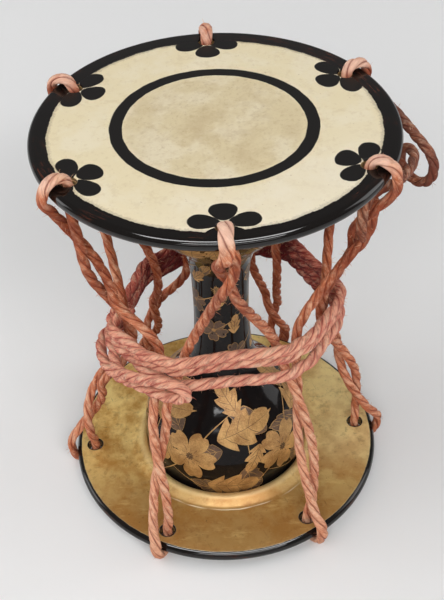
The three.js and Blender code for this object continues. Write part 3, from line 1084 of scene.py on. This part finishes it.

# %% [markdown]
# ## Hemp
# The ropes were dyed red and have faded where hands reach them. Painted light and shade are in their colour
# too: pink and straw in front, on the tops of the strands and on the bights, deep orange and maroon
# behind, under the upper head and in the grooves. The map of a strand gives the groove beside it and the
# lay of its yarns.

# %% Hemp finish
def hemp(name, colours, shade_to_back, fade):
    """Laid hemp in pale, mid, deep and groove colours, with painted light in front and above and painted
    shade behind and below.
    """
    pale, mid, deep, dark = colours
    made = Finish(name)
    _, y, z = made.parts(made.spot)
    far, round_it, _ = made.parts(made.node("UVMap", {"uv_map": "lay"}, {}))
    up = made.parts(made.node("NewGeometry", {}, {}, "Normal"))[2]
    inward = (round_it * (2 * math.pi)).cosine()
    groove = inward.step(-0.35, 0.55)
    ridge = inward.step(-0.2, -1.0)
    yarn = made.noise(1.0, 2.0, 0.55, seed=21, at=made.vector(far * 0.13, round_it * 9 + far * 0.12, 0))
    fibre = made.noise(1.0, 2.0, 0.6, seed=22, at=made.vector(far * 0.3, round_it * 22 + far * 0.3, 0))
    cloud = made.noise(13, 3.0, 0.6, seed=23)
    soil_and_shade = made.noise(6, 4.0, 0.65, seed=24)
    rubbed = made.noise(7, 3.0, 0.7, seed=28).step(0.46, 0.62)
    # Painted light: paler on the bights over the rims
    painted_light_on_bight = z.step(257, 264)
    # Painted shade: darker under the upper head
    painted_shade_under_head = z.step(150, 205) * z.step(258, 246)
    # Painted light and shade, mixed with the rope's fading: darker to the back, paler on faces that look up
    # and on the lower strands
    light_and_fade = y * -shade_to_back + up * 0.42 + (cloud - 0.5) * 1.5 + fade
    light_and_fade = light_and_fade + z.step(150, 60) * 0.2 - painted_shade_under_head * 0.42 + painted_light_on_bight * 0.6
    # High where the rope is lit or worn: the pale yarns, fibres and rubbed ridges below are partly wear and
    # partly painted light
    worn = light_and_fade.step(-0.35, 0.6)
    colour = made.coats(
        deep,
        (light_and_fade.step(-0.1, 0.5), mid),
        (light_and_fade.step(0.4, 1.15), pale),
        (yarn.step(0.48, 0.6) * 0.45, deep),
        (yarn.step(0.49, 0.37) * worn * 0.5, pale),
        (soil_and_shade.step(0.5, 0.66) * 0.3, dark),
        (fibre.step(0.55, 0.64) * worn * 0.42, (242, 206, 172)),
        (ridge * rubbed * worn * 0.4, (246, 210, 178)),
        (painted_light_on_bight * cloud.step(0.3, 0.55) * 0.45, (244, 208, 190)),
        # Painted shade under the upper head, in patches
        (painted_shade_under_head * soil_and_shade.step(0.42, 0.6) * 0.3, (92, 42, 24)),
        # Darker in the grooves between strands: partly the dye's own colour, partly painted shade
        (groove * (cloud * 0.5 + 0.45), dark),
    )
    height = made.bump(yarn * 0.55 + fibre * 0.45, 0.9)
    return made.shade(base_color=colour, roughness=fibre * 0.1 + 0.82, normal=height)


# Each rope's colours, how much painted shade darkens them for each millimetre to the back, and their fading
dyes = [
    (lacing, "lacing_hemp", [(224, 164, 130), (196, 108, 68), (144, 64, 30), (126, 38, 20)], 0.0045, 0.2),
    (girdle, "girdle_hemp", [(226, 160, 132), (190, 90, 74), (96, 16, 20), (156, 38, 38)], 0.009, 0.22),
    (tail, "tail_hemp", [(190, 116, 78), (150, 80, 48), (106, 44, 22), (72, 24, 12)], 0.003, 0.3),
]
for made, name, *dye in dyes:
    dress(made, hemp(name, *dye))
    print(made.name, "is dyed")

# %% Loose fibres
# A hair's root in a rope of radius 1, its length, its half width and the share of its length it droops
hair_root = 0.88
hair_length = (1.4, 4.2)
hair_width = (0.07, 0.13)
hair_droop = 0.12
# How far a hair leans off its rope and aside of it, when it leans by up to 1 along it
hair_lift = (0.12, 0.7)
hair_aside = 0.6
# How far a hair bows out halfway, in millimetres, and the share of its width that it has there
hair_bow = 0.25
hair_waist = 0.8
floor_gap = 1.2


def fibres(name, route, diameter, count, slot, shade):
    """Short hairs of hemp that stand off a rope, each a narrow strip that runs out to a point."""
    rng = random.Random(count)
    route = np.array(route)
    along, side, up = carried(route)
    points, faces = [], []
    while len(faces) < 2 * count:
        i = rng.randrange(len(route))
        a = rng.uniform(0, 2 * math.pi)
        out = math.cos(a) * side[i] + math.sin(a) * up[i]
        lead = along[i] * rng.uniform(-1, 1)
        lead += np.cross(along[i], out) * rng.uniform(-hair_aside, hair_aside)
        lead += out * rng.uniform(*hair_lift)
        length = rng.uniform(*hair_length)
        lead = unit(lead) * length
        root = route[i] + out * diameter / 2 * hair_root
        tip = root + lead - np.array((0, 0, hair_droop * length))
        if min(root[2], tip[2]) < floor_gap:
            continue
        half = unit(np.cross(lead, out)) * rng.uniform(*hair_width)
        halfway = root + lead * 0.5 + out * hair_bow
        waist = half * hair_waist
        first = len(points)
        points += [root - half, root + half, halfway + waist, halfway - waist, tip]
        faces += [(first, first + 1, first + 2, first + 3), (first + 3, first + 2, first + 4)]
    made = piece(name, points, faces, HEADS, slot)
    finish = Finish(name)
    cloud = finish.noise(11, 2.0, seed=26)
    colour = finish.colour(cloud.step(0.35, 0.65), shade, (236, 186, 146))
    dress(made, finish.shade(base_color=colour, roughness=cloud * 0.1 + 0.85))


fibres("lacing_fibres", lace_route, lace_diameter, 3000, "lacing_hemp", (190, 112, 72))
fibres("girdle_fibres", girdle_route, girdle_diameter, 1700, "girdle_hemp", (202, 116, 94))
fibres("tail_fibres", tail_route, lace_diameter, 220, "lacing_hemp", (150, 92, 64))

# %% [markdown]
# ## Lacquer
# The body is coated in black lacquer, polished until it mirrors the room, and worn thin in places. The
# inside, which doesn't show, has the same finish here. The neck under the upper bowl is dusted with gold
# that fades downward.

# %% Lacquered wood
neck_gold_low = middle + 30
neck_gold_high = middle + 62
neck_gold_top = middle + 80
neck_gold_end = middle + 86


def lacquered():
    made = Finish("black_lacquer", specular_ior_level=0.16)
    z = made.parts(made.spot)[2]
    scuff = made.noise(5, 5.0, 0.7, seed=32).step(0.56, 0.75)
    powder = made.noise(0.5, 1.0, 0.5, seed=33).step(0.42, 0.6)
    neck = z.step(neck_gold_low, neck_gold_high) * z.step(neck_gold_end, neck_gold_top)
    dust = (neck + made.noise(9, 3.0, seed=34) * 0.4 - 0.2).step(0.3, 1.0) * powder * 0.55
    colour = made.coats(
        (10, 9, 10),
        (made.noise(24, 3.0, 0.6, seed=31), (26, 21, 20)),
        (scuff * 0.25, (74, 60, 50)),
        (dust, (150, 112, 62)),
    )
    return made.shade(
        base_color=colour,
        roughness=scuff * 0.22 + dust * 0.25 + 0.09,
        metallic=dust * 0.35,
        normal=made.bump(made.noise(7, 2.0, seed=35), 0.12),
    )


dress(drum_body, lacquered())
print("the body is lacquered, with gold dust above", round(neck_gold_low), "mm")

# %% [markdown]
# ## Iron, straw and thread
# These pieces lie inside the heads. They keep the shapes of the solid model and get a finish each.

# %% Finishes of the hidden pieces
def iron():
    made = Finish("forged_iron")
    rust = made.noise(6, 5.0, 0.65, seed=41).step(0.45, 0.7)
    colour = made.colour(rust, (66, 62, 60), (112, 66, 40))
    hammered = made.bump(made.noise(4, 2.0, seed=42), 0.25)
    metal = rust * -0.7 + 0.9
    return made.shade(base_color=colour, roughness=rust * 0.35 + 0.45, metallic=metal, normal=hammered)


def straw():
    made = Finish("rice_straw")
    x, y, z = made.parts(made.spot)
    round_ring = made.vector(y.arctan2(x) * 2.4, length_of(x, y) * 1.2, z * 1.2)
    stalks = made.noise(1.0, 2.0, 0.6, seed=43, at=round_ring)
    cloud = made.noise(12, 3.0, seed=44).step(0.45, 0.7)
    colour = made.coats(
        (92, 70, 40),
        (stalks.step(0.35, 0.65), (176, 146, 88)),
        (cloud * 0.5, (110, 82, 48)),
    )
    return made.shade(base_color=colour, roughness=stalks * 0.1 + 0.78, normal=made.bump(stalks, 0.5))


def thread():
    made = Finish("seam_thread")
    twist = made.noise(0.8, 2.0, 0.5, seed=45)
    colour = made.colour(twist.step(0.35, 0.65), (132, 110, 76), (196, 178, 138))
    return made.shade(base_color=colour, roughness=twist * 0.1 + 0.75, normal=made.bump(twist, 0.2))


hidden = {"iron_ring": iron(), "straw_packing": straw(), "seam_thread": thread()}
for made in bpy.data.objects:
    for ending, material in hidden.items():
        if made.type == "MESH" and ending in made.name:
            made.material_slots[0].material = material
            print(made.name, "gets", material.name)

# %% [markdown]
# ## Gold decoration on the lacquer
# Flowers and leaves are drawn in wet lacquer, dusted with gold and polished, so they stand a hair above
# the black. Each motif is a flat outline, filled with triangles and wrapped on the body by its angle
# and its distance along the turned profile. The motifs are the maker's own, of a traditional kind.

# %% Wrapping flat shapes on the body
outside_radii, outside_heights = np.array(body_outside).T
outside_far = distances(np.array(body_outside))
lean_reach = 0.5


def profile_after(far):
    """Radius and height at a distance along the body's outside."""
    return [np.interp(far, outside_far, known) for known in (outside_radii, outside_heights)]


def profile_at(height):
    """Radius and distance along the body's outside, at a height."""
    return [np.interp(height, outside_heights, known) for known in (outside_radii, outside_far)]


def wrapped(angle, height, shape, lift):
    """Points in millimetres of a flat shape laid on the body round an angle and a height."""
    _, centre = profile_at(height)
    points = []
    for across, up in shape:
        r, z = profile_after(centre + up)
        ahead = profile_after(centre + up + lean_reach)
        back = profile_after(centre + up - lean_reach)
        lean = math.atan2(ahead[0] - back[0], ahead[1] - back[1])
        turn = angle + math.degrees(across / r)
        points.append(polar(r + lift * math.cos(lean), turn, z - lift * math.sin(lean)))
    return points


def moved(shape, turn):
    """A flat shape turned about its start."""
    c = math.cos(math.radians(turn))
    s = math.sin(math.radians(turn))
    return [(x * c - y * s, x * s + y * c) for x, y in shape]


# %% Filling an outline and drawing a line
fill_spacing = 2.2
line_spacing = 1.2
line_ends = 0.45


class Inlay:
    """A mesh that gathers the motifs of one finish."""

    def __init__(self, lift):
        self.lift = lift
        self.points = []
        self.faces = []

    def fill(self, angle, height, outline):
        """Fills an outline with triangles small enough to follow the body."""
        low = np.min(outline, axis=0)
        high = np.max(outline, axis=0)
        across, up = (np.arange(low[i], high[i], fill_spacing) for i in (0, 1))
        edge = [Vector(p) for p in outline]
        grid = [Vector((x, y)) for x in across for y in up]
        flat, _, faces, _, _, _ = delaunay_2d_cdt(edge + grid, [], [list(range(len(edge)))], 1, 1e-4)
        first = len(self.points)
        self.points += wrapped(angle, height, flat, self.lift)
        self.faces += [tuple(first + i for i in face) for face in faces]

    def line(self, angle, height, route, width):
        """A brushed line that swells in its middle and runs out thin."""
        route = np.array(smooth_section(route, line_spacing))
        along = unit(np.gradient(route, axis=0))
        swell = line_ends + (1 - line_ends) * np.sin(math.pi * np.linspace(0, 1, len(route)))
        across = np.stack([-along[:, 1], along[:, 0]], axis=1) * (width / 2 * swell)[:, None]
        first = len(self.points)
        self.points += wrapped(angle, height, np.concatenate([route + across, route - across]), self.lift)
        n = len(route)
        self.faces += [(first + i, first + n + i, first + n + i + 1, first + i + 1) for i in range(n - 1)]


# %% Outlines of leaves and blossoms
leaf_steps = 40
leaf_tip = 1.04
leaf_taper = 0.85
leaf_fullness = 0.75
tooth_start = 0.15
tooth_sharpness = 1.5
tooth_lag = 3.0
blossom_steps = 120
blossom_heart = 0.42
petal_reach = 0.58
petal_roundness = 0.55
notch_width = 0.09
blossom_unevenness = 0.06


def leaf_outline(length, width, teeth, bite, bend):
    """A leaf along +Y from its stalk, with teeth that point to its tip."""
    def side(sign):
        edge = []
        for i in range(1, leaf_steps):
            t = i / leaf_steps
            tooth = 1 - bite * (1 - (t * teeth + tooth_start) % 1) ** tooth_sharpness
            half = width / 2 * math.sin(math.pi * t ** leaf_taper) ** leaf_fullness * tooth
            lag = bite * tooth_lag * (tooth - 1 + bite / 2)
            edge.append((sign * half + bend * t * t, length * t + lag))
        return edge
    return [(0, 0), *side(1), (bend, length * leaf_tip), *side(-1)[::-1]]


def blossom_outline(radius, petals_round, notch, seed):
    """A blossom of notched petals, seen from the front."""
    edge = []
    for i in range(blossom_steps):
        a = 2 * math.pi * i / blossom_steps
        petal_shape = abs(math.cos(petals_round * a / 2)) ** petal_roundness
        middle_of_petal = (a * petals_round / (2 * math.pi) + 0.5) % 1 - 0.5
        dent = notch * math.exp(-((middle_of_petal / notch_width) ** 2))
        uneven = noise.noise(Vector((2 * math.cos(a), 2 * math.sin(a), seed)))
        r = radius * (blossom_heart + petal_reach * petal_shape - dent)
        r *= 1 + blossom_unevenness * uneven
        edge.append((r * math.cos(a), r * math.sin(a)))
    return edge


def leaf_veins(length, width, bend, count):
    """A leaf's midrib and side veins, as lines to draw."""
    def rib(t):
        return (bend * t * t, length * t)
    lines = [[rib(0.02), rib(0.35), rib(0.7), rib(0.96)]]
    for i in range(count):
        t = 0.15 + 0.6 * i / count
        x, y = rib(t)
        for sign in (1, -1):
            reach = sign * width * 0.36 * math.sin(math.pi * (t + 0.12))
            lines.append([(x, y), (x + reach * 0.5, y + 2.4), (x + reach, y + 6)])
    return lines


# %% Motifs
gold_lift = 0.07
gold, shaded, lines, marks = (Inlay(gold_lift * share) for share in (1, 0.6, 1.6, 1.7))
scratch_width = 0.34
vein_width = 0.4
edge_width = 0.42
fine_width = 0.36
petal_count = 5
petal_step = 360 / petal_count
heart_bumps = 9
stamen_count = 10
stamen_step = 360 / stamen_count


def gold_leaf(angle, height, turn, length, width, bend):
    gold.fill(angle, height, moved(leaf_outline(length, width, 3.0, 0.5, bend), turn))
    for vein in leaf_veins(length, width, bend, 3):
        marks.line(angle, height, moved(vein, turn), scratch_width)


def outlined(angle, height, edge):
    """A shape in thin powder, with a line drawn round it."""
    shaded.fill(angle, height, edge)
    lines.line(angle, height, edge + edge[:1], edge_width)


def drawn_leaf(angle, height, turn, length, width, bend):
    outlined(angle, height, moved(leaf_outline(length, width, 4.0, 0.22, bend), turn))
    for vein in leaf_veins(length, width, bend, 4):
        lines.line(angle, height, moved(vein, turn), vein_width)


def ray(turn, inner, outer, bend=0.0):
    """A line out from a blossom's heart, as places that a line goes through."""
    return [(r * math.cos(turn + b), r * math.sin(turn + b)) for r, b in ((inner, 0.0), (outer, bend))]


def gold_blossom(angle, height, turn, radius, seed):
    gold.fill(angle, height, moved(blossom_outline(radius, petal_count, 0.13, seed), turn))
    marks.fill(angle, height, moved(blossom_outline(radius * 0.15, heart_bumps, 0.0, seed + 3), turn))
    for k in range(stamen_count):
        reach = radius * (0.42 if k % 2 else 0.34)
        direction = math.radians(turn + stamen_step * k + stamen_step / 2)
        marks.line(angle, height, ray(direction, radius * 0.2, reach, 0.08), fine_width)


def drawn_blossom(angle, height, turn, radius, seed):
    outlined(angle, height, moved(blossom_outline(radius, petal_count, 0.15, seed), turn))
    lines.fill(angle, height, moved(blossom_outline(radius * 0.17, heart_bumps, 0.0, seed), turn))
    for k in range(petal_count):
        direction = math.radians(turn + petal_step * k + petal_step / 2)
        lines.line(angle, height, ray(direction, radius * 0.2, radius * 0.45), fine_width)


def stalk(start, *following, width=0.8):
    """A stem through places given by angle and height."""
    angle, height = start
    r, low = profile_at(height)
    route = []
    for a, h in (start, *following):
        here, far = profile_at(h)
        route.append((math.radians(a - angle) * (r + here) / 2, far - low))
    lines.line(angle, height, route, width)


# %% Layout on the bowls and the stem
# Leaves of a spray: the motif, its angle from the spray's heart, its height from the mouth, its least
# and most turn, its length, width and bend
spray_leaves = [
    (drawn_leaf, 41, 30, (150, 200), 33, 19, 2),
    (drawn_leaf, -10, 50, (20, 50), 30, 17, -2),
    (drawn_leaf, 30, 9, (60, 85), 27, 15, 1),
    (drawn_leaf, 24, 44, (70, 110), 25, 15, 2),
    (gold_leaf, 20, 50, (-70, -40), 37, 27, 3),
    (gold_leaf, 13, 15, (-105, -90), 34, 24, -3),
    (gold_leaf, 40, 62, (-20, 30), 25, 17, 2),
    (gold_leaf, -18, 44, (150, 190), 22, 14, 2),
]
spray_count = 5
spray_step = 360 / spray_count
heart_height = 35
gold_blossom_radius = (18.5, 21.5)


def bowl_motifs(start, seed, at):
    """Five sprays round a bowl, each a little different, at heights that are given from its mouth."""
    rng = random.Random(seed)
    for k in range(spray_count):
        a = start + spray_step * k + rng.uniform(-4, 4)
        heart = at(heart_height + rng.uniform(-3, 3))
        stalk((a - 26, at(9)), (a - 14, at(21)), (a, heart))
        stalk((a, heart), (a + 14, at(55)), (a + 34, at(67)))
        stalk((a - 14, at(21)), (a + 12, at(11)), (a + 30, at(17)))
        stalk((a + 34, at(67)), (a + 44, at(53)), (a + 46, at(39)))
        for leaf, beside, height, turns, *sizes in spray_leaves:
            leaf(a + beside, at(height), rng.uniform(*turns), *sizes)
        gold_blossom(a, heart, rng.uniform(0, petal_step), rng.uniform(*gold_blossom_radius), seed + k)


# Heights of the blossoms on the stem, the first one's angle and how far each next one is turned. Another
# stands on the far side at each height.
stem_heights = (104, 124, 143, 163, 182)
stem_start = -64
stem_turn = 137
drawn_blossom_radius = (8.5, 10)


def stem_motifs(seed):
    """Open drawn blossoms and small leaves up the stem."""
    rng = random.Random(seed)
    for k, height in enumerate(stem_heights):
        for a in (stem_start + stem_turn * k, stem_start + stem_turn * k + 180):
            turn = rng.uniform(0, petal_step)
            drawn_blossom(a, height, turn, rng.uniform(*drawn_blossom_radius), seed + k)
            stalk((a, height), (a + 34, height + 6), (a + 66, height + 12), width=0.6)
            gold_leaf(a + 42, height - 4, rng.uniform(-60, 20), 15, 9, 1)
            drawn_leaf(a + 70, height + 5, rng.uniform(-40, 40), 13, 7, 1)


bowl_motifs(-118, 5, lambda up: middle - mouth_height + up)
bowl_motifs(-80, 15, lambda down: middle + mouth_height - down)
stem_motifs(9)
print("decoration:", [len(inlay.faces) for inlay in (gold, shaded, lines, marks)], "faces")

# %% Finishes of the decoration
def powdered(name, thin, full, roughness):
    """Gold dust held in lacquer: grains of light and dark, worn through here and there."""
    made = Finish(name)
    dust = made.noise(0.7, 2.0, 0.6, seed=51)
    cloud = made.noise(11, 3.0, 0.6, seed=52)
    colour = made.colour((dust * 0.5 + cloud * 0.9).step(0.5, 0.9), thin, full)
    return made.shade(base_color=colour, roughness=dust * 0.2 + roughness, metallic=cloud * 0.3 + 0.2)


decoration = [
    (gold, "gold_motifs", "gold_powder", (152, 108, 58), (214, 170, 108), 0.32),
    (shaded, "shaded_motifs", "thin_powder", (70, 54, 44), (122, 94, 72), 0.3),
    (lines, "drawn_lines", "gold_line", (156, 116, 66), (202, 160, 100), 0.32),
    (marks, "scratched_marks", "dark_line", (84, 60, 38), (108, 80, 50), 0.35),
]
for inlay, name, *powder in decoration:
    made = piece(name, inlay.points, inlay.faces, BODY, "lacquered_wood")
    dress(made, powdered(*powder))

# %% [markdown]
# ## Floor and light
# The drum stands on a pale grey floor in soft light. The floor carries its shadow, and
# glows faintly farther off, because the studio's backdrop evens out the light there.
# Two of the lamps differ from the rest. The wide one at the left would lay grey bands on the black
# rims, so it doesn't show in gloss. The high one in front shows in gloss only, as the thin bright
# lines along the rims.

# %% Floor
reach = 30000
floor_points = [(-reach, -reach, 0), (reach, -reach, 0), (reach, reach, 0), (-reach, reach, 0)]
floor = mesh_object("floor", floor_points, [(0, 1, 2, 3)])
pale = Finish("pale_floor", base_color=srgb(238, 238, 238), roughness=0.9, emission_strength=1.0)
x, y, _ = pale.parts(pale.spot)
away = length_of(x, y)
glow = pale.coats((0, 0, 0), (away.step(250, 700), (97, 97, 97)), (away.step(1500, 4500), (45, 45, 45)))
dress(floor, pale.shade(emission_color=glow))
print("floor:", 2 * reach * MM, "m wide")

# %% Light
drum_middle = Vector((0, 0, 0.13))
room_strength = 0.22
world = bpy.data.worlds.new("studio")
scene.world = world
world.use_nodes = True
room = world.node_tree.nodes["Background"].inputs
room["Color"].default_value = (1.0, 1.0, 1.0, 1.0)
room["Strength"].default_value = room_strength


def softbox(name, place, size, power):
    """A rectangular lamp that points at the drum's middle. Place and size are in metres."""
    lamp = bpy.data.lights.new(name, "AREA")
    lamp.shape = "RECTANGLE"
    lamp.size, lamp.size_y = size
    lamp.energy = power
    made = placed(name, lamp)
    made.location = place
    made.rotation_euler = (Vector(place) - drum_middle).to_track_quat("Z", "Y").to_euler()
    print(name, "lamp:", power, "W")
    return made


softbox("front", (0.2, -1.25, 1.35), (1.5, 0.18), 15.5)
softbox("low front", (0.15, -1.6, 0.75), (1.7, 0.1), 3)
wide_lamp = softbox("high left", (-1.2, -0.2, 1.4), (1.9, 1.9), 13.8)
wide_lamp.visible_glossy = False
rim_lamp = softbox("high front", (0, -0.5, 1.9), (1.9, 0.45), 40)
rim_lamp.visible_diffuse = False
softbox("right", (1.6, 0.2, 0.9), (0.7, 1.1), 6)
softbox("low left", (-1.6, 0.3, 0.55), (0.6, 0.8), 4)
scene.view_settings.view_transform = "Standard"
